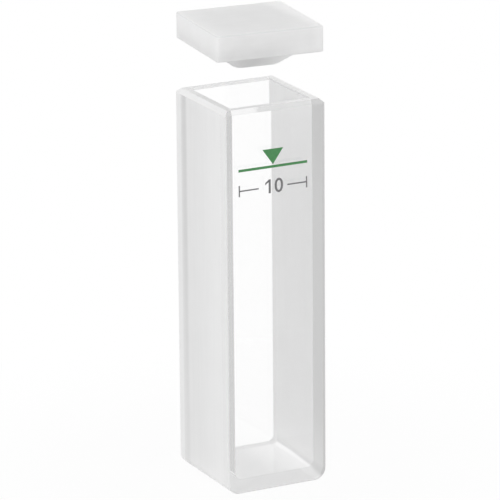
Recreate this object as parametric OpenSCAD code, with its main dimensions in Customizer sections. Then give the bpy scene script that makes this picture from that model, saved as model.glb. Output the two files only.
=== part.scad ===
// Square glass cuvette with a loose lid.
// Two polished windows are fused to a U-shaped frame of ground glass, so liquid stands between
// them at a known light path. The lid is a plain plate with a tapered plug below it that centres
// itself in the cell's mouth. It is shown lifted clear of the cell.
//
// X runs across the windows, Y along the light path, Z up. The origin is the centre of the
// cell's foot.

/* [Chamber] */
// Light path: the distance between the inner faces of the two windows
light_path = 10; // [8:0.5:20]
// Inner width of the chamber, from side wall to side wall
chamber_w = 10; // [8:0.5:20]
// Radius of the chamber's two bottom corners
chamber_r = 0.8; // [0.4:0.1:2.4]

/* [Glass] */
// Height of the cell from its foot to its rim, without the lid
cell_h = 45; // [25:0.5:60]
// Thickness of each window
window_t = 1.25; // [0.8:0.05:2]
// Thickness of the frame's side walls
wall_t = 1.25; // [0.8:0.05:2]
// Thickness of the frame's floor
floor_t = 1.5; // [1:0.05:4]
// Radius of the cell's two outer bottom corners
foot_r = 1.4; // [0.6:0.1:2.8]
// Bevel round the outside of the rim
rim_bevel = 0.5; // [0.1:0.05:0.6]
// Bevel along the windows' upright and bottom edges
edge_bevel = 0.15; // [0.05:0.05:0.4]

/* [Lid] */
// Thickness of the lid's plate
plate_t = 3; // [1.5:0.1:6]
// How far the plate stands out past the cell's faces, all round
plate_overhang = 0.15; // [0:0.05:0.5]
// Radius of the plate's four corners, seen from above
plate_corner_r = 0.4; // [0.4:0.1:1.5]
// Rounding of the plate's top and bottom edges
plate_edge_r = 0.15; // [0.05:0.05:0.2]
// Depth of the plug below the plate
plug_depth = 1.95; // [1:0.05:3]
// How far each side of the plug leans in from its root to its foot
plug_lean = 2.25; // [0.5:0.05:2.4]
// Radius of the plug's four corners, seen from below
plug_corner_r = 0.9; // [0.6:0.1:1.1]
// Rounding of the edges round the plug's foot
plug_edge_r = 0.3; // [0.1:0.05:0.3]
// Gap between the plug's root and the chamber's walls, all round
plug_gap = 0.2; // [0.1:0.05:0.4]

/* [Lid position] */
// Height of the plate's underside above the rim
lid_lift = 5.6; // [3.5:0.1:20]
// Turn of the lid about the upright axis, in degrees
lid_turn = -5.1; // [-45:0.1:45]

/* [Hidden] */
$fn = 64;

// Outer size of the cell, from the chamber and the glass around it
cell_w = chamber_w + 2 * wall_t;
cell_d = light_path + 2 * window_t;

// Size of the lid's plate
plate_w = cell_w + 2 * plate_overhang;
plate_d = cell_d + 2 * plate_overhang;

// Size of the plug's root, which enters the mouth last
plug_w = chamber_w - 2 * plug_gap;
plug_d = light_path - 2 * plug_gap;

// How far a cutting shape runs past the faces that it cuts
past = 1;
// Facets of the lid's rounded corners
corner_fn = 32;

// Repeats what follows on the other side of the plane that has this normal
module both_sides(normal) {
    children();
    mirror(normal) children();
}

// A standing rectangle with rounded bottom corners, centred on its width, with its foot on the
// X axis
module round_footed(w, h, r) {
    translate([-w / 2, r]) square([w, h - r]);
    translate([-w / 2 + r, 0]) square([w - 2 * r, 2 * r]);
    for (side = [-1, 1]) translate([side * (w / 2 - r), r]) circle(r);
}

// A flat outline drawn in X and Z, made this deep along Y and centred on the X axis
module stand_up(depth) {
    translate([0, depth / 2, 0]) rotate([90, 0, 0]) linear_extrude(depth) children();
}

// Section of a 45 degree bevel, for an edge at the origin of a body that lies at -X and -Y
module bevel_section(size) {
    polygon([[-size, 0], [0, -size], [past, -size], [past, past], [-size, past]]);
}

// What is cut from the outside of the rim: one straight bevel on each of the four sides
module rim_cut() {
    both_sides([1, 0, 0]) translate([cell_w / 2, 0, cell_h])
        stand_up(cell_d + 2 * past) bevel_section(rim_bevel);
    both_sides([0, 1, 0]) translate([0, cell_d / 2, cell_h]) rotate(90)
        stand_up(cell_w + 2 * past) bevel_section(rim_bevel);
}

// What is cut from the outer edge of the rear window: a bevel that runs down both upright edges,
// round the bottom corners as part of a cone, and along the foot
module window_edge_cut() {
    both_sides([1, 0, 0]) {
        translate([cell_w / 2, cell_d / 2, foot_r])
            linear_extrude(cell_h - foot_r + past) bevel_section(edge_bevel);
        translate([cell_w / 2 - foot_r, cell_d / 2, foot_r]) rotate([90, 0, 0])
            rotate_extrude(angle = -90) translate([foot_r, 0])
                mirror([0, 1]) bevel_section(edge_bevel);
    }
    translate([0, cell_d / 2, 0]) rotate([90, 0, 90])
        linear_extrude(cell_w - 2 * foot_r, center = true) mirror([0, 1]) bevel_section(edge_bevel);
}

// Side walls and floor in one piece, open towards both windows and at the top
module frame() {
    color([0.86, 0.9, 0.89, 0.7]) difference() {
        stand_up(light_path) round_footed(cell_w, cell_h, foot_r);
        translate([0, 0, floor_t]) stand_up(light_path + 2 * past)
            round_footed(chamber_w, cell_h, chamber_r);
        rim_cut();
    }
}

// The window at +Y
module window() {
    color([0.8, 0.93, 0.94, 0.35]) difference() {
        translate([0, (light_path + window_t) / 2, 0])
            stand_up(window_t) round_footed(cell_w, cell_h, foot_r);
        window_edge_cut();
        rim_cut();
    }
}

module rear_window() {
    window();
}

module front_window() {
    mirror([0, 1, 0]) window();
}

// Corner places of a rectangle, as far in from its own corners as the inset says
function corner_places(w, d, inset) =
    [for (x = [-1, 1], y = [-1, 1]) [x * (w / 2 - inset), y * (d / 2 - inset)]];

// One corner of the plate or of the plug: a disc with rounded edges, standing on Z = 0. It is at
// least as high as its two roundings together.
module soft_disc(r, h, edge_r) {
    rotate_extrude($fn = corner_fn) {
        square([r - edge_r, h]);
        if (h > 2 * edge_r) translate([0, edge_r]) square([r, h - 2 * edge_r]);
        for (z = [edge_r, h - edge_r])
            translate([r - edge_r, z]) circle(edge_r, $fn = corner_fn);
    }
}

// The plate, a little wider and deeper than the cell, with its underside at Z = 0
module plate() {
    hull() for (place = corner_places(plate_w, plate_d, plate_corner_r))
        translate(place) soft_disc(plate_corner_r, plate_t, plate_edge_r);
}

// The plug, which hangs below Z = 0 and leans in on all four sides down to a softly rounded foot.
// Its root starts inside the plate, so that the two are one piece.
module plug() {
    root = plate_t / 2;
    foot_w = plug_w - 2 * plug_lean;
    foot_d = plug_d - 2 * plug_lean;
    hull() {
        for (place = corner_places(plug_w, plug_d, plug_corner_r))
            translate(place) cylinder(h = root, r = plug_corner_r, $fn = corner_fn);
        for (place = corner_places(foot_w, foot_d, plug_corner_r))
            translate([place.x, place.y, -plug_depth])
                soft_disc(plug_corner_r, 2 * plug_edge_r, plug_edge_r);
    }
}

module lid() {
    color("white") translate([0, 0, cell_h + lid_lift]) rotate(lid_turn) {
        plate();
        plug();
    }
}

frame();
front_window();
rear_window();
lid();
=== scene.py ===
# %% [markdown]
# # A glass cuvette with its loose lid
#
# A cuvette is the small glass cell that holds a liquid in a spectrometer. Two polished windows
# are fused to a U-shaped frame of ground glass, and a white plastic lid drops into the mouth.
# This lesson builds what the eye sees of it around the exact CAD model: first the camera and the
# studio, then the glass, the lid and the print.
#
# The first cell loads the CAD model. Its nodes give the sizes and places, so nothing is fitted
# by hand.

# %% Load the CAD model
import math

import bmesh
import bpy
from mathutils import Matrix, Vector


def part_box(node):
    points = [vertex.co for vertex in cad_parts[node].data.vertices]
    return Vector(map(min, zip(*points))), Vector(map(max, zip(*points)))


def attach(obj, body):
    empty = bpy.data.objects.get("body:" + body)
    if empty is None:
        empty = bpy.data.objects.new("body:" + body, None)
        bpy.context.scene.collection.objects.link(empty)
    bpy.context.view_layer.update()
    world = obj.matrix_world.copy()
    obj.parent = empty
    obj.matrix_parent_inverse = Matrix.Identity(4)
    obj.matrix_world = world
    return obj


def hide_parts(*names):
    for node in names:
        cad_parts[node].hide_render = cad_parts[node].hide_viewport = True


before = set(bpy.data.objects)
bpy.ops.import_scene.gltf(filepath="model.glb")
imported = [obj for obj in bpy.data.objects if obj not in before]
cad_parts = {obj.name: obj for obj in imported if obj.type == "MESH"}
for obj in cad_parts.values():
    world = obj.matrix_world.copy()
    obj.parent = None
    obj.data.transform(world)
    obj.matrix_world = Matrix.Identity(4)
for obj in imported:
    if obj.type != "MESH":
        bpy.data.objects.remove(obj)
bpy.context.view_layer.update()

scene = bpy.context.scene
print("CAD nodes:", ", ".join(sorted(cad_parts)))

# %% [markdown]
# ## Sizes
#
# The pieces are drawn in millimetres and turned to metres when they are finished, because
# Blender's bevel works with more certainty on numbers near one. The outer sizes are read from the
# CAD nodes. What a box can't tell, such as a rounding, is repeated from the CAD source.

# %% Read the sizes
MM = 0.001


def box_mm(node):
    """Lowest and highest corner of a CAD node, in millimetres."""
    low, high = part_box(node)
    return low / MM, high / MM


frame_high = box_mm("frame")[1]
half_width = frame_high.x
half_path = frame_high.y
cell_height = frame_high.z
window_face = box_mm("rear_window")[1].y
wall = 1.25
floor_thickness = 1.5
foot_radius = 1.4
chamber_radius = 0.8
rim_bevel = 0.5
edge_bevel = 0.15
print("Cell, mm:", [round(v, 2) for v in (2 * half_width, 2 * window_face, cell_height)])

# %% [markdown]
# ## The camera
#
# Pictures of small products are taken from far away through a long lens, so that upright edges
# stay nearly parallel. The camera stands half a metre away, to the left of the front window and a
# little above it. Its place is worked out from two angles and a distance, which are easier to
# think about than three coordinates.

# %% Place the camera
azimuth = math.radians(-26.8)
elevation = math.radians(16.9)
roll = math.radians(-0.48)
distance = 0.5
look_at = Vector((-0.00014, 0.0, 0.0266))

back = Vector((
    math.sin(azimuth) * math.cos(elevation),
    -math.cos(azimuth) * math.cos(elevation),
    math.sin(elevation),
))
camera = bpy.data.objects.new("camera", bpy.data.cameras.new("camera"))
scene.collection.objects.link(camera)
camera.data.sensor_width = 36
camera.data.lens = 317.4
camera.data.clip_start = 0.01
camera.data.clip_end = 20
facing = (-back).to_track_quat("-Z", "Y").to_matrix() @ Matrix.Rotation(roll, 3, "Z")
camera.matrix_world = Matrix.Translation(look_at + back * distance) @ facing.to_4x4()
scene.camera = camera
scene.view_settings.view_transform = "Standard"
print("Camera at", [round(v, 3) for v in look_at + back * distance])

# %% [markdown]
# ## Helpers for materials
#
# A material is a small graph of nodes. These helpers add a node with its settings, fill its
# sockets by name and do sums, so that each material below reads like a recipe.

# %% Helpers for node graphs
def add_node(tree, kind, settings=None, **sockets):
    """A new node with its settings. A socket's name has underscores for spaces, and its value is
    a plain value or another node's output, which is then linked."""
    node = tree.nodes.new(kind)
    for name, value in (settings or {}).items():
        setattr(node, name, value)
    for name, value in sockets.items():
        put(tree, value, node.inputs[name.replace("_", " ")])
    return node


def put(tree, value, socket):
    """Links an output to the socket, or sets the socket to a plain value."""
    if isinstance(value, bpy.types.NodeSocket):
        tree.links.new(value, socket)
    else:
        socket.default_value = value


def new_material(name):
    """A material with an empty graph, and the graph with its output node."""
    material = bpy.data.materials.new(name)
    material.use_nodes = True
    tree = material.node_tree
    tree.nodes.clear()
    return material, tree, tree.nodes.new("ShaderNodeOutputMaterial")


print("Graph helpers ready")

# %% Helpers for sums
def maths(tree, operation, first, second=0.0, clamp=False):
    """The result of a Math node."""
    node = add_node(tree, "ShaderNodeMath", {"operation": operation, "use_clamp": clamp})
    put(tree, first, node.inputs[0])
    put(tree, second, node.inputs[1])
    return node.outputs[0]


def ramp(tree, value, start, end, low=0.0, high=1.0):
    """Goes smoothly from low to high while the value goes from start to end."""
    node = add_node(
        tree, "ShaderNodeMapRange", {"interpolation_type": "SMOOTHSTEP"},
        Value=value, From_Min=start, From_Max=end, To_Min=low, To_Max=high,
    )
    return node.outputs["Result"]


def between(tree, share, low, high):
    """Goes smoothly from low to high while the share goes from 0 to 1."""
    return ramp(tree, share, 0.0, 1.0, low, high)


def on_piece(tree):
    """Where a point is on its piece, in metres, as one vector."""
    return add_node(tree, "ShaderNodeTexCoord").outputs["Object"]


def split(tree, vector):
    """The X, Y and Z of a vector, by name."""
    return add_node(tree, "ShaderNodeSeparateXYZ", Vector=vector).outputs


print("Sum helpers ready")

# %% Helpers for colours and shaders
# The Mix node has sockets for every kind of value. These are the places of its colour sockets.
MIX_FIRST = 6
MIX_SECOND = 7
MIX_RESULT = 2


def plain_grey(value):
    """A grey that is the same all over, as a plain colour."""
    return (value, value, value, 1)


def neutral(tree, value):
    """A grey that can change over the surface, from a node."""
    return add_node(tree, "ShaderNodeCombineColor", Red=value, Green=value, Blue=value).outputs[0]


def mix_colours(tree, share, first, second):
    """A share of the second colour in the first."""
    node = add_node(tree, "ShaderNodeMix", {"data_type": "RGBA"}, Factor=share)
    put(tree, first, node.inputs[MIX_FIRST])
    put(tree, second, node.inputs[MIX_SECOND])
    return node.outputs[MIX_RESULT]


def mix_shaders(tree, share, first, second):
    """A share of the second shader in the first."""
    node = add_node(tree, "ShaderNodeMixShader")
    put(tree, share, node.inputs[0])
    tree.links.new(first, node.inputs[1])
    tree.links.new(second, node.inputs[2])
    return node.outputs[0]


WHITE = plain_grey(1)
BLACK = plain_grey(0)
print("Colour helpers ready")

# %% [markdown]
# ## The studio
#
# The cell stands in a white studio. The world shows plain white to the camera, and to rays that
# glass mirrors or lets through, but it lights matt surfaces more softly, so that white plastic
# doesn't burn out. The Light Path node tells the kinds of rays apart. In a real studio a backdrop
# of white card would do the same, but here its edges would show in the glass.
#
# A ray that looks through the cell can cross eight surfaces, and each one splits it. Blender's own
# limits already serve well, and a few places in the glass come out a little lighter with more
# bounces.

# %% Fill the studio with light
def seen_directly(tree):
    """1 for a ray that shows what is there: from the camera, a mirror or clear glass."""
    path = add_node(tree, "ShaderNodeLightPath").outputs
    seen = maths(tree, "ADD", path["Is Camera Ray"], path["Is Glossy Ray"])
    return maths(tree, "ADD", seen, path["Is Transmission Ray"], clamp=True)


world = bpy.data.worlds.new("studio")
scene.world = world
world.use_nodes = True
tree = world.node_tree
tree.nodes.clear()
soft_light = add_node(tree, "ShaderNodeBackground", Strength=0.66, Color=WHITE)
white_view = add_node(tree, "ShaderNodeBackground", Strength=1.0, Color=WHITE)
shown = mix_shaders(tree, seen_directly(tree), soft_light.outputs[0], white_view.outputs[0])
add_node(tree, "ShaderNodeOutputWorld", Surface=shown)
scene.cycles.max_bounces = 24
scene.cycles.glossy_bounces = 16
scene.cycles.transmission_bounces = 24
scene.cycles.transparent_max_bounces = 24
print("World:", world.name)

# %% [markdown]
# Three large soft lamps then give each side a tone of its own. The strongest stands on the left,
# so that the ground side there is the lightest. A weak one in front lifts the lid's front face,
# and the one behind, on the right, puts light into the walls that are seen through the windows.

# %% Hang the lamps
lamp_target = Vector((0, 0, 0.03))


def soft_lamp(name, place, size, power):
    """A square lamp that faces the middle of the object."""
    light = bpy.data.lights.new(name, "AREA")
    light.shape = "SQUARE"
    light.size = size
    light.energy = power
    lamp = bpy.data.objects.new(name, light)
    scene.collection.objects.link(lamp)
    place = Vector(place)
    facing = (lamp_target - place).to_track_quat("-Z", "Y").to_matrix().to_4x4()
    lamp.matrix_world = Matrix.Translation(place) @ facing
    print(name, "power", power)


soft_lamp("left_softbox", (-0.55, -0.12, 0.18), size=0.4, power=0.92)
soft_lamp("front_softbox", (0.20, -0.55, 0.30), size=0.4, power=0.30)
soft_lamp("rear_softbox", (0.45, 0.20, 0.35), size=0.3, power=0.55)

# %% [markdown]
# ## The floor
#
# The floor is a sheet of white paper, a hair below the cell's foot. Next to the cell it takes a
# soft shadow. Further out it fades into the plain white of the world, so that no horizon shows
# from any side.

# %% Lay the floor
floor_reach = 2.5
floor_drop = 0.00005
shadow_end = 0.012
white_start = 0.05
mesh = bpy.data.meshes.new("floor")
paper = bmesh.new()
bmesh.ops.create_grid(paper, x_segments=1, y_segments=1, size=floor_reach)
bmesh.ops.translate(paper, verts=list(paper.verts), vec=(0, 0, -floor_drop))
paper.to_mesh(mesh)
paper.free()
floor = bpy.data.objects.new("floor", mesh)
scene.collection.objects.link(floor)

material, tree, output = new_material("white_paper")
away = add_node(tree, "ShaderNodeVectorMath", {"operation": "LENGTH"})
put(tree, on_piece(tree), away.inputs[0])
plain = ramp(tree, away.outputs["Value"], shadow_end, white_start, low=0.94, high=1.0)
matt = add_node(tree, "ShaderNodeBsdfDiffuse", Color=plain_grey(0.85))
white = add_node(tree, "ShaderNodeEmission", Color=WHITE, Strength=1.0)
share = maths(tree, "MULTIPLY", seen_directly(tree), plain)
put(tree, mix_shaders(tree, share, matt.outputs[0], white.outputs[0]), output.inputs[0])
mesh.materials.append(material)
print("Floor, m:", [round(v, 2) for v in floor.dimensions[:2]])

# %% [markdown]
# ## Ground glass
#
# Grinding leaves glass covered in tiny chips. They scatter light both ways: part of it passes
# through in a blur, and part comes back white. So the Principled shader gets a rough surface, and
# only a small share of transmission. Fine grain, slow clouds and faint upright grinding marks keep
# it from looking like plastic. They come from noise, which a Mapping node can stretch into strokes.

# %% Helpers for patterns
def noise(tree, vector, scale, detail=2.0):
    """A cloud of values round one half, with that many cells in a metre."""
    node = add_node(tree, "ShaderNodeTexNoise", Vector=vector, Scale=scale, Detail=detail)
    return node.outputs["Fac"]


def stretched(tree, vector, scale):
    """The vector with its axes scaled, which stretches a pattern along the small ones."""
    return add_node(tree, "ShaderNodeMapping", Vector=vector, Scale=scale).outputs[0]


print("Pattern helpers ready")

# %% [markdown]
# The pattern is one node group, because all the ground finishes share it with values of their own.
# A group gives out only colours and numbers. The shader itself stays in each material, where it
# can also ask which side of a face is seen.

# %% Open the grain group
grain = bpy.data.node_groups.new("ground_grain", "ShaderNodeTree")
for name, start in (("Tint", 0.95), ("Cloudiness", 0.07), ("Roughness", 0.6)):
    socket = grain.interface.new_socket(name, in_out="INPUT", socket_type="NodeSocketFloat")
    socket.default_value = start
for name, kind in (("Color", "Color"), ("Roughness", "Float"), ("Height", "Float")):
    grain.interface.new_socket(name, in_out="OUTPUT", socket_type="NodeSocket" + kind)
given = grain.nodes.new("NodeGroupInput").outputs
result = grain.nodes.new("NodeGroupOutput").inputs
print("Group sockets:", [s.name for s in grain.interface.items_tree])

# %% Fill the grain group
ROUGHNESS_SWING = 0.2
STROKE_HEIGHT = 0.5

place = on_piece(grain)
clouds = noise(grain, place, scale=160.0)
chips = noise(grain, place, scale=9000.0, detail=1.0)
strokes = noise(grain, stretched(grain, place, (1.0, 1.0, 0.04)), scale=2600.0)
swing = maths(grain, "SUBTRACT", maths(grain, "ADD", clouds, strokes), 1.0)
shade = maths(grain, "ADD", 1.0, maths(grain, "MULTIPLY", swing, given["Cloudiness"]))
tinted = maths(grain, "MULTIPLY", shade, given["Tint"])
rougher = maths(grain, "MULTIPLY", swing, ROUGHNESS_SWING)
rough = maths(grain, "ADD", given["Roughness"], rougher)
height = maths(grain, "ADD", chips, maths(grain, "MULTIPLY", strokes, STROKE_HEIGHT))
put(grain, neutral(grain, tinted), result["Color"])
put(grain, rough, result["Roughness"])
put(grain, height, result["Height"])
print("Group has", len(grain.nodes), "nodes")

# %% [markdown]
# Half of the ground faces are seen from inside: the eye looks through a polished window, into the
# glass, at the back of a ground wall. The Principled shader alone leaves the foot and the lower
# part of the U too dark there. So a Translucent shader is mixed in, which glows evenly, and the
# Geometry node's Backfacing says which side of the face is seen. This glow isn't worked out from
# the light: its shares and greys were fitted until the cell looked right in this studio.
#
# How much it glows depends on two things, which the next helper mixes, and both are painted light
# and shade. A level face, such as the foot or the rim, is brighter than an upright wall. And a face
# that is seen at a slant, as Layer Weight tells, shows almost only its glow, in a grey set for the
# slant.

# %% Helper for the look from inside
LEVEL_FROM = 0.5
LEVEL_SPAN = 0.5
LEVEL_SHARE = 0.37
LEVEL_GREY = 0.95
SLANT_FROM = 0.35
SLANT_TO = 0.6
SLANTED_SHARE = 0.95
LEVEL_SLANTED_GREY = 0.82


def inside_look(tree, normal, level_from, shares, grey, slanted_grey):
    """The share of glow in a face, and its grey. The two shares are those of a wall and of a
    level face, and the greys are a wall's, seen square on and at a slant."""
    tilt = maths(tree, "ABSOLUTE", normal["Z"])
    # Painted light: a level face glows more and in a lighter grey than a wall, and a face seen at a
    # slant shows its glow in a grey set for the slant, which is painted shade.
    level = ramp(tree, tilt, level_from, maths(tree, "ADD", level_from, LEVEL_SPAN))
    share = between(tree, level, *shares)
    grey = between(tree, level, grey, LEVEL_GREY)
    slanted_grey = between(tree, level, slanted_grey, LEVEL_SLANTED_GREY)
    facing = add_node(tree, "ShaderNodeLayerWeight", Blend=0.5).outputs["Facing"]
    slant = ramp(tree, facing, SLANT_FROM, SLANT_TO)
    return between(tree, slant, share, SLANTED_SHARE), between(tree, slant, grey, slanted_grey)


print("Inside look ready")

# %% [markdown]
# The frame also changes from place to place. These shifts are painted light and shade, fitted to
# how such a cell looks in light like this. They aren't properties of the glass, and they stay with
# it when the lamps move, so another studio may look better without them. frame_shades turns them
# off.
#
# From outside, painted shade gives a narrow darker band beside the rear joint, which is stronger
# near the top, and makes the wall a little darker towards the rear.
#
# From inside, painted light makes the walls glow more next to the foot. The foot is brighter
# towards the right, and so is the lower end of the wall there when it is seen at a slant. Near the
# rim a slanted wall is a little darker, which is painted shade. The rounded corners begin to look
# like the foot only further back.

# %% Helpers for the frame's shades
def frame_colour(tree, place, colour, behind):
    """The colour of the frame, with painted shade outside: darker in the band at the joint and
    towards the rear.
    """
    depth = place["Y"]
    # Painted shade: a band before the rear joint, stronger near the top, and a fade towards the
    # rear.
    strength = ramp(tree, place["Z"], 0.005, 0.038, low=0.07, high=0.16)
    band = maths(
        tree, "MULTIPLY", ramp(tree, depth, 0.0032, 0.0040, high=strength),
        ramp(tree, depth, 0.0042, 0.0052, low=1.0, high=0.0),
    )
    painted_shade = maths(tree, "ADD", band, ramp(tree, depth, -0.005, 0.004, high=0.08))
    in_front = maths(tree, "SUBTRACT", 1.0, behind)
    return mix_colours(tree, maths(tree, "MULTIPLY", painted_shade, in_front), colour, BLACK)


def frame_look(tree, place, glow, slanted_grey):
    """The frame's look from inside: the shares of glow in a wall and in a level face, where a face
    begins to count as level, and the grey of a wall at a slant."""
    across, depth, up = place["X"], place["Y"], place["Z"]
    # Painted light and shade: walls glow more next to the foot and the foot more to the right, the
    # lower wall on the right is lighter at a slant, and slanted walls near the rim are darker.
    wall_share = ramp(tree, up, 0.0005, 0.003, low=0.9, high=glow)
    level_share = ramp(tree, across, -0.0005, 0.0045, low=LEVEL_SHARE, high=1.0)
    level_from = ramp(tree, depth, -0.005, 0.003, low=LEVEL_FROM, high=0.2)
    lighter = ramp(tree, across, -0.0005, 0.0045, high=0.065)
    lighter_end = ramp(tree, up, 0.001, 0.009, low=lighter, high=0.0)
    darker_rim = ramp(tree, up, 0.030, 0.042, low=slanted_grey, high=0.52)
    return (wall_share, level_share), level_from, maths(tree, "ADD", darker_rim, lighter_end)


print("Frame's shades ready")

# %% [markdown]
# Glass casts a shadow as a solid would, because the renderer can't aim at a lamp through a
# surface that bends light. Each glass finish mixes in a Transparent shader for shadow rays only,
# so that the lamps reach inside the cell.

# %% Helper for shadows
def open_to_lamps(tree, glass, clearness):
    """The shader, but nearly clear to the rays that look for a lamp."""
    clear = add_node(tree, "ShaderNodeBsdfTransparent", Color=plain_grey(clearness))
    lamp_ray = add_node(tree, "ShaderNodeLightPath").outputs["Is Shadow Ray"]
    return mix_shaders(tree, lamp_ray, glass, clear.outputs[0])


print("Shadow helper ready")

# %% [markdown]
# With these the recipe can be written. A Mix Shader chooses between the outside, which is the
# Principled shader with the grain, and the glow that is seen from inside.

# %% Write the recipe for ground glass
def ground_finish(name, tint, through, glow, grey, slanted_grey=0.55, roughness=0.6, grit=0.25,
                  frame_shades=False):
    """Ground glass. Tint and through are its grey and its transmission from outside. Glow, grey
    and slanted_grey are a wall's look from inside. Grit is the strength of its chips."""
    material, tree, output = new_material(name)
    effect = add_node(tree, "ShaderNodeGroup", {"node_tree": grain}, Tint=tint, Roughness=roughness)
    colour = effect.outputs["Color"]
    surface = add_node(tree, "ShaderNodeNewGeometry").outputs
    behind = surface["Backfacing"]
    shares = (glow, LEVEL_SHARE)
    level_from = LEVEL_FROM
    if frame_shades:
        place = split(tree, on_piece(tree))
        colour = frame_colour(tree, place, colour, behind)
        shares, level_from, slanted_grey = frame_look(tree, place, glow, slanted_grey)
    normal = split(tree, surface["True Normal"])
    share, grey = inside_look(tree, normal, level_from, shares, grey, slanted_grey)
    bump = add_node(
        tree, "ShaderNodeBump", Height=effect.outputs["Height"], Strength=grit, Distance=0.00002
    )
    outside = add_node(
        tree, "ShaderNodeBsdfPrincipled", Base_Color=colour, IOR=1.46,
        Roughness=effect.outputs["Roughness"], Transmission_Weight=through, Normal=bump.outputs[0],
    )
    inside = add_node(tree, "ShaderNodeBsdfTranslucent", Color=neutral(tree, grey))
    seen_inside = maths(tree, "MULTIPLY", behind, share)
    glass = mix_shaders(tree, seen_inside, outside.outputs[0], inside.outputs[0])
    put(tree, open_to_lamps(tree, glass, 0.95), output.inputs[0])
    print(name, "lets through", through)
    return material


print("Recipe ready")

# %% [markdown]
# The same grit ground nearly all of the cell, but its faces meet the light in different ways. So
# five finishes come from the one recipe: the frame's walls and foot, the flat rim, the bevels at
# its sides, the windows' narrow edges, and the bevels at its front and rear, which are polished
# nearly clear. Apart from that polish, their different tints and glows are painted light and shade
# for each kind of face: the rim and the side bevels come out whiter, and the windows' edges greyer.

# %% Make the ground finishes
# Painted light and shade: these tints and glows differ only to suit how each kind of face meets the
# light.
ground_glass = ground_finish(
    "ground_glass", tint=0.935, through=0.2, glow=0.25, grey=0.62, frame_shades=True
)
ground_rim = ground_finish("ground_rim", tint=1.0, through=0.05, glow=0.25, grey=0.8)
ground_bevel = ground_finish(
    "ground_bevel", tint=1.0, through=0.05, glow=0.8, grey=0.5, slanted_grey=0.5
)
ground_edge = ground_finish(
    "ground_edge", tint=0.91, through=0.15, glow=0.35, grey=0.75, slanted_grey=0.5
)
clear_rim = ground_finish(
    "clear_rim", tint=1.0, through=0.75, glow=1.0, grey=0.95, roughness=0.15, grit=0.0
)

# %% [markdown]
# ## Polished glass and the fused joint
#
# The windows are clear all through, and so are the inner walls of the chamber. Polished glass is
# the Principled shader with full transmission and no roughness, apart from a faint film that
# handling leaves.
#
# Where a window is fused to the frame, no air is left between them, so light passes as if the two
# were one block. The two faces that touch get a Transparent shader. With plain glass there, each
# joint would mirror some of the light that meets it at a slant.

# %% Make the clear finishes
polished_glass, tree, output = new_material("polished_glass")
film = ramp(tree, noise(tree, on_piece(tree), scale=220.0), 0.45, 0.8, high=0.03)
glass = add_node(
    tree, "ShaderNodeBsdfPrincipled", Base_Color=WHITE, IOR=1.46, Roughness=film,
    Transmission_Weight=1.0,
)
put(tree, open_to_lamps(tree, glass.outputs[0], 0.97), output.inputs[0])

fused_joint, tree, output = new_material("fused_joint")
joint = add_node(tree, "ShaderNodeBsdfTransparent", Color=plain_grey(0.99))
put(tree, joint.outputs[0], output.inputs[0])
print("Clear finishes:", polished_glass.name, fused_joint.name)

# %% [markdown]
# ## Helpers for shapes
#
# Every piece of the cell is cut out of a flat plate: draw the outline, round its corners, push it
# to its thickness, then grind bevels on its edges. bmesh has an operator for each step.

# %% Helpers for cutting and grinding
def round_corners(shape, corners, radius, segments):
    """Rounds corners of a flat outline."""
    bmesh.ops.bevel(
        shape, geom=corners, offset=radius, offset_type="OFFSET", segments=segments,
        profile=0.5, affect="VERTICES", material=-1,
    )


def bevel(shape, edges, size, segments=1):
    """Grinds a bevel on these edges, or a rounding if it has more segments."""
    bmesh.ops.bevel(
        shape, geom=edges, offset=size, offset_type="OFFSET", segments=segments,
        profile=0.5, affect="EDGES", clamp_overlap=False, material=-1,
    )


def push(shape, depth):
    """Gives a flat outline its thickness along Y."""
    made = bmesh.ops.extrude_face_region(shape, geom=list(shape.faces))["geom"]
    moved = [item for item in made if isinstance(item, bmesh.types.BMVert)]
    bmesh.ops.translate(shape, verts=moved, vec=(0, depth, 0))
    bmesh.ops.recalc_face_normals(shape, faces=list(shape.faces))


print("Cutting helpers ready")

# %% Helpers for finding edges
TINY = 0.001


def same(value, other):
    """True if the two lengths are the same, in millimetres."""
    return abs(value - other) < TINY


def whole(edge, test):
    """True if both ends of the edge pass the test."""
    return all(test(vert.co) for vert in edge.verts)


def edges_where(shape, test, least=30.0):
    """The edges that turn by at least that angle and whose two ends both pass the test."""
    return [
        edge for edge in shape.edges
        if len(edge.link_faces) == 2 and edge.calc_face_angle() > math.radians(least)
        and whole(edge, test)
    ]


def flat_edges(shape, test):
    """The edges inside a flat face whose two ends both pass the test."""
    return [
        edge for edge in shape.edges if edge.calc_face_angle(math.pi) < TINY and whole(edge, test)
    ]


print("Edge helpers ready")

# %% Helper for finished pieces
crease = math.radians(30)


def finish_piece(name, shape, finishes, pick=None, nodes=()):
    """Paints each face with the finish that is picked for it, turns the shape to metres and makes
    it a piece of the cell, in place of those CAD nodes."""
    for face in shape.faces:
        face.material_index = finishes.index(pick(face)) if pick else 0
        face.smooth = True
    for edge in shape.edges:
        edge.smooth = edge.calc_face_angle(math.pi) < crease
    bmesh.ops.scale(shape, vec=(MM, MM, MM), verts=list(shape.verts))
    mesh = bpy.data.meshes.new(name)
    shape.to_mesh(mesh)
    shape.free()
    for finish in finishes:
        mesh.materials.append(finish)
    piece = bpy.data.objects.new(name, mesh)
    scene.collection.objects.link(piece)
    piece.modifiers.new("even_shading", "WEIGHTED_NORMAL").keep_sharp = True
    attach(piece, "root")
    if nodes:
        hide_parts(*nodes)
    print(name, "has", len(mesh.polygons), "faces")


print("Piece helper ready")

# %% [markdown]
# ## The frame
#
# The frame is a U, two side walls and a floor, and it shows no seam at its corners. Three plates
# side by side would give it two. So the U is drawn as one face with eight corners. Its two feet
# and the chamber's two bottom corners are rounded before the face gets its depth, so that the
# roundings run all the way through.

# %% Draw the U
inner = half_width - wall
FOOT_SEGMENTS = 20
CHAMBER_SEGMENTS = 16


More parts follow.
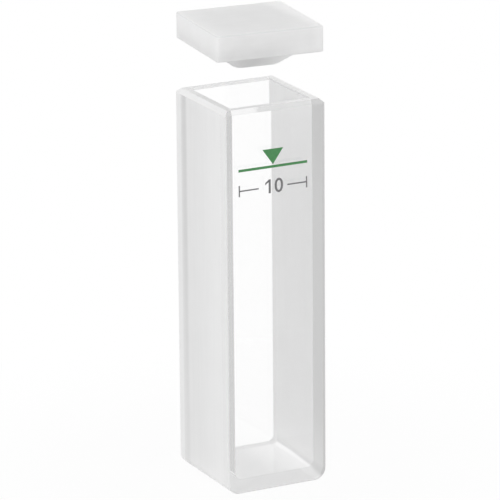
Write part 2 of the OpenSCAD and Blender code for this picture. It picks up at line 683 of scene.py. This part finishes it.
def draw_cell(y):
    """The frame's U, standing at that Y, and the two corners where it meets the mouth."""
    shape = bmesh.new()
    outer_corners = [
        shape.verts.new((x, y, z)) for x, z in (
            (-half_width, cell_height), (-half_width, 0), (half_width, 0), (half_width, cell_height)
        )
    ]
    inner_corners = [
        shape.verts.new((x, y, z)) for x, z in (
            (inner, cell_height), (inner, floor_thickness), (-inner, floor_thickness),
            (-inner, cell_height),
        )
    ]
    shape.faces.new(outer_corners + inner_corners)
    round_corners(shape, outer_corners[1:3], foot_radius, FOOT_SEGMENTS)
    round_corners(shape, inner_corners[1:3], chamber_radius, CHAMBER_SEGMENTS)
    return shape, [inner_corners[0], inner_corners[3]]


print("Chamber, mm:", round(2 * inner, 2), "wide")

# %% [markdown]
# The frame stands a hair clear of each window, because two faces in the same plane would fight
# for every ray. Its outer rim gets the bevel that runs all round the mouth. The finishes follow
# from where a face is and which way it looks.

# %% Make the frame
joint_gap = 0.005
# A part of a normal: straight along an axis from the first value on, leaning from the second.
STRAIGHT = 0.99
LEANING = 0.5


def frame_finish(face):
    """The finish of one of the frame's faces."""
    centre, normal = face.calc_center_median(), face.normal
    if abs(normal.y) > STRAIGHT:
        return fused_joint
    if abs(centre.x) < inner + TINY and floor_thickness - TINY < centre.z < cell_height - TINY:
        return polished_glass
    if normal.z > STRAIGHT:
        return ground_rim
    if normal.z > LEANING:
        return ground_bevel
    return ground_glass


shape, _ = draw_cell(joint_gap - half_path)
push(shape, 2 * (half_path - joint_gap))
outer_rim = edges_where(
    shape, lambda p: same(abs(p.x), half_width) and same(p.z, cell_height)
)
bevel(shape, outer_rim, rim_bevel)
finish_piece(
    "glass_frame", shape, [polished_glass, ground_glass, fused_joint, ground_rim, ground_bevel],
    frame_finish, ["frame"],
)

# %% [markdown]
# ## The windows
#
# A window is a plate with the same outer outline. Its inner face has two parts: a U that is fused
# to the frame, and the clear opening of the chamber. So it is drawn as two faces that share an
# edge, and both are pushed out together. On the outer side the parting line isn't real, and
# dissolving its edges gives one clean face again.

# %% Cut a window
def cut_window(joint_y, face_y):
    """A plate from the joint to the outer face, whose inner face is parted into U and opening."""
    shape, mouth = draw_cell(joint_y)
    shape.edges.new(mouth)
    opening = [
        edge for edge in shape.edges
        if whole(edge, lambda p: abs(p.x) < inner + TINY and p.z > floor_thickness - TINY)
    ]
    bmesh.ops.contextual_create(shape, geom=opening)
    push(shape, face_y - joint_y)
    parting = flat_edges(shape, lambda p: same(p.y, face_y))
    bmesh.ops.dissolve_edges(shape, edges=parting, use_verts=True)
    on_rim = flat_edges(shape, lambda p: same(p.z, cell_height))
    bmesh.ops.dissolve_edges(shape, edges=on_rim, use_verts=False)
    return shape


print("Window, mm:", round(window_face - half_path, 2), "thick")

# %% [markdown]
# The rim's bevel comes first, on three sides of the window. The small bevel along the outer edges
# comes next, and it stops where the rim's bevel begins.

# %% Make the windows
def make_window(name, node, side):
    """A window at the front, with side -1, or at the rear, with side 1."""
    joint_y, face_y = side * half_path, side * window_face
    shape = cut_window(joint_y, face_y)
    rim = edges_where(shape, lambda p: same(p.z, cell_height))
    rim = [edge for edge in rim if not whole(edge, lambda p: same(p.y, joint_y))]
    bevel(shape, rim, rim_bevel)
    bevel_foot = cell_height - rim_bevel
    outer = edges_where(shape, lambda p: same(p.y, face_y) and p.z < bevel_foot + TINY)
    outer = [edge for edge in outer if not whole(edge, lambda p: p.z > bevel_foot - TINY)]
    bevel(shape, outer, edge_bevel)

    def window_finish(face):
        """The finish of one of the window's faces. The fused U is the smaller part."""
        normal = face.normal
        if abs(normal.y) > STRAIGHT:
            on_joint = same(face.calc_center_median().y, joint_y)
            small = face.calc_area() < half_width * cell_height
            return fused_joint if on_joint and small else polished_glass
        if normal.z > STRAIGHT:
            return ground_rim
        if normal.z > LEANING:
            return clear_rim if abs(normal.x) < LEANING else ground_bevel
        return ground_edge

    finish_piece(
        name, shape,
        [polished_glass, ground_edge, fused_joint, clear_rim, ground_rim, ground_bevel],
        window_finish, [node],
    )


make_window("front_pane", "front_window", -1)
make_window("rear_pane", "rear_window", 1)

# %% [markdown]
# ## White plastic
#
# The lid is milled from PTFE, a waxy white plastic that lets light sink in a little. A plain matt
# white would look like chalk, so subsurface scattering gives it its soft edges. Slow clouds and
# fine milling marks show that it was cut and not moulded.
#
# Its shade is also painted to change over the piece: greyer on the rounded edges and a little on
# the top, greyer on the left of the plug and of the plate's lower part and lighter on their right,
# and whiter at the right end. Like the frame's, these shifts are painted light and shade, fitted to
# the look in this light, and aren't properties of the plastic.

# %% Shade the lid's plastic
PLASTIC_GREY = 0.80
CUT_SHARE = 0.35
PATTERN_SHARE = 0.09
EDGE_AND_TOP_SHADE = 0.12

lid_plastic, tree, output = new_material("lid_plastic")
place = on_piece(tree)
clouds = noise(tree, place, scale=420.0, detail=3.0)
cuts = noise(tree, stretched(tree, place, (0.05, 1.0, 1.0)), scale=3200.0)
pattern = maths(tree, "ADD", clouds, maths(tree, "MULTIPLY", cuts, CUT_SHARE))
up = split(tree, add_node(tree, "ShaderNodeNewGeometry").outputs["True Normal"])["Z"]
# Painted shade: the rounded edges are darker, and the top a little.
edge_and_top_shade = maths(
    tree, "MULTIPLY", ramp(tree, up, 0.05, 0.3), ramp(tree, up, 0.8, 0.99, low=1.0, high=0.3)
)
across = split(tree, place)["X"]
# Painted shade and light: the plug and the plate's lower part are darker on the left and lighter on
# the right.
lower_part = ramp(tree, split(tree, place)["Z"], 0.0502, 0.0528, low=1.0, high=0.0)
left_shade_right_light = ramp(tree, across, -0.002, 0.0035, low=0.11, high=-0.06)
shade = maths(tree, "ADD", PLASTIC_GREY, maths(tree, "MULTIPLY", pattern, PATTERN_SHARE))
shade = maths(tree, "SUBTRACT", shade, maths(tree, "MULTIPLY", edge_and_top_shade, EDGE_AND_TOP_SHADE))
shade = maths(tree, "SUBTRACT", shade, maths(tree, "MULTIPLY", lower_part, left_shade_right_light))
# Painted light: the right end is whiter.
shade = maths(tree, "ADD", shade, ramp(tree, across, 0.004, 0.0064, high=0.14))
print("Lid's grey starts from", PLASTIC_GREY)

# %% Make the lid's plastic
bump = add_node(tree, "ShaderNodeBump", Height=cuts, Strength=0.2, Distance=0.00003)
plastic = add_node(
    tree, "ShaderNodeBsdfPrincipled", Base_Color=neutral(tree, shade), IOR=1.35,
    Roughness=ramp(tree, clouds, 0.3, 0.7, low=0.42, high=0.55), Subsurface_Weight=1.0,
    Subsurface_Scale=0.003, Subsurface_Radius=(1.0, 1.0, 1.0), Normal=bump.outputs[0],
)
put(tree, plastic.outputs[0], output.inputs[0])
print("Plastic:", lid_plastic.name)

# %% [markdown]
# ## The lid
#
# The lid is lofted: four rounded squares are drawn at their heights, from the plate's top down to
# the foot of its tapered plug, and bridged one to the next. A cube with bevels could make the
# plate, but not the plug's lean. The edges are rounded at the end.

# %% Draw a rounded square
CORNER_SEGMENTS = 8


def section(shape, size, radius, z):
    """A rounded square at that height, as a face with its edges."""
    half = size / 2
    others = set(shape.verts)
    corners = [
        shape.verts.new((x, y, z))
        for x, y in ((-half, -half), (half, -half), (half, half), (-half, half))
    ]
    shape.faces.new(corners)
    round_corners(shape, corners, radius, CORNER_SEGMENTS)
    face = next(vert for vert in shape.verts if vert not in others).link_faces[0]
    return face, list(face.edges)


print("Corners have", CORNER_SEGMENTS, "segments")

# %% Read the lid's sizes
lid_low, lid_high = box_mm("lid")
plate_thickness = 3.0
plate_width = 12.8
plate_corner = 0.4
plate_edge = 0.15
plug_root = 9.6
plug_foot = 5.1
plug_corner = 0.9
plug_edge = 0.3
lid_turn = math.radians(-5.1)
plate_top = lid_high.z
plate_under = plate_top - plate_thickness
plug_under = lid_low.z
print("Plug, mm:", round(plate_under - plug_under, 2), "deep")

# %% Loft the lid
EDGE_SEGMENTS = 4

shape = bmesh.new()
sections = [
    section(shape, plate_width, plate_corner, plate_top),
    section(shape, plate_width, plate_corner, plate_under),
    section(shape, plug_root, plug_corner, plate_under),
    section(shape, plug_foot, plug_corner, plug_under),
]
for face, _ in sections[1:-1]:
    bmesh.ops.delete(shape, geom=[face], context="FACES_ONLY")
for (_, upper), (_, lower) in zip(sections, sections[1:]):
    bmesh.ops.bridge_loops(shape, edges=upper + lower)
bmesh.ops.recalc_face_normals(shape, faces=list(shape.faces))
for z in (plate_top, plate_under):
    ring = edges_where(
        shape, lambda p: same(p.z, z) and max(abs(p.x), abs(p.y)) > half_width - plate_corner
    )
    bevel(shape, ring, plate_edge, EDGE_SEGMENTS)
foot_ring = edges_where(shape, lambda p: same(p.z, plug_under), least=15.0)
bevel(shape, foot_ring, plug_edge, EDGE_SEGMENTS)
turn = Matrix.Rotation(lid_turn, 3, "Z")
bmesh.ops.rotate(shape, verts=list(shape.verts), cent=(0, 0, 0), matrix=turn)
finish_piece("lid_plate_and_plug", shape, [lid_plastic], nodes=["lid"])

# %% [markdown]
# ## The print
#
# Such a cell carries a mark that says which way it goes into the instrument, and the length of
# its light path. Both are screen-printed in thin ink on the front window. A drawing on the glass
# material would do from afar, but real patches of ink have an edge, and they show from behind
# too. They stand a hair clear of the glass, where the rays inside the window don't meet them.

# %% Make the inks
COAT_SWING = 0.15


def ink(name, colour):
    """Screen-printed ink: the colour, with a coat that is a little uneven."""
    material, tree, output = new_material(name)
    coat = noise(tree, on_piece(tree), scale=3500.0)
    thick = [(1 - COAT_SWING) * part for part in colour] + [1]
    thin = [(1 + COAT_SWING) * part for part in colour] + [1]
    print_ink = add_node(
        tree, "ShaderNodeBsdfPrincipled",
        Base_Color=mix_colours(tree, ramp(tree, coat, 0.25, 0.75), thick, thin),
        Roughness=ramp(tree, coat, 0.2, 0.8, low=0.4, high=0.55),
    )
    put(tree, print_ink.outputs[0], output.inputs[0])
    return material


green_ink = ink("green_ink", (0.069, 0.275, 0.091))
grey_ink = ink("grey_ink", (0.2, 0.2, 0.205))
print("Inks:", green_ink.name, grey_ink.name)

# %% [markdown]
# The mark is a green triangle that points down to a green line. Below it, the number of
# millimetres stands between two grey strokes, as on a drawing. Each is a flat patch that is pushed
# out to the thickness of the ink.

# %% Helpers for patches of ink
ink_gap = 0.002
ink_coat = 0.015
ink_face = window_face + ink_gap
mark_x = -0.35


def patch(shape, points):
    """A flat patch of ink through these X and Z places."""
    shape.faces.new([shape.verts.new((x, -ink_face, z)) for x, z in points])


def bar(shape, start, end, low, high):
    """A rectangle of ink, with its start and end measured from the mark's middle line."""
    left, right = sorted((mark_x + start, mark_x + end))
    patch(shape, [(left, low), (right, low), (right, high), (left, high)])


print("Ink is", ink_coat, "mm thick")

# %% Print the green mark
mark_reach = 4.3
triangle_half = 1.3
triangle_top = 40.1
triangle_tip = 38.3
line_top = 38.2
line_low = 37.9

green_marks = bmesh.new()
patch(green_marks, [
    (mark_x - triangle_half, triangle_top), (mark_x, triangle_tip),
    (mark_x + triangle_half, triangle_top),
])
bar(green_marks, -mark_reach, mark_reach, line_low, line_top)
push(green_marks, -ink_coat)
finish_piece("orientation_mark", green_marks, [green_ink])

# %% Print the strokes beside the number
size_z = 35.7
stroke_start = 1.8
stroke_width = 0.16
tick_half = 0.65

grey_marks = bmesh.new()
for side in (-1, 1):
    tick = side * (mark_reach - stroke_width)
    stroke_low = size_z - stroke_width / 2
    bar(grey_marks, side * stroke_start, tick, stroke_low, stroke_low + stroke_width)
    bar(grey_marks, tick, side * mark_reach, size_z - tick_half, size_z + tick_half)
push(grey_marks, -ink_coat)
finish_piece("side_strokes", grey_marks, [grey_ink])

# %% [markdown]
# The number is a font curve that becomes a mesh before it is put in its place. In this font the
# figure one is a plain bar, so a small flag is added at its top to tell it from a letter. The flag
# starts inside the bar, so that the two read as one figure.

# %% Type the number
letters = bpy.data.curves.new("path_length", "FONT")
letters.body = "10"
letters.size = 2.3
letters.offset = 0.02
letters.align_x = "CENTER"
letters.align_y = "CENTER"
letters.extrude = ink_coat / 2
typed = bpy.data.objects.new("typed", letters)
scene.collection.objects.link(typed)
bpy.context.view_layer.update()
mesh = bpy.data.meshes.new_from_object(typed.evaluated_get(bpy.context.evaluated_depsgraph_get()))
bpy.data.objects.remove(typed)
print("Number's mesh has", len(mesh.polygons), "faces")

# %% Stand the number up
number_shift = 0.15

number = bmesh.new()
number.from_mesh(mesh)
upright = Matrix.Rotation(math.pi / 2, 3, "X")
bmesh.ops.rotate(number, verts=list(number.verts), cent=(0, 0, 0), matrix=upright)
middle = (mark_x + number_shift, -ink_face - ink_coat / 2, size_z)
bmesh.ops.translate(number, verts=list(number.verts), vec=middle)
print("Number stands at", [round(v, 2) for v in middle])

# %% Add the flag and print the number
bar_width = 0.2
left = min(vert.co.x for vert in number.verts)
top = max(vert.co.z for vert in number.verts if vert.co.x < left + bar_width)
root = left + 0.05
tip = left - 0.42

flag = bmesh.new()
patch(flag, [(root, top - 0.01), (tip, top - 0.36), (tip, top - 0.62), (root, top - 0.27)])
push(flag, -ink_coat)
flag.to_mesh(mesh)
flag.free()
number.from_mesh(mesh)
finish_piece("path_length", number, [grey_ink])
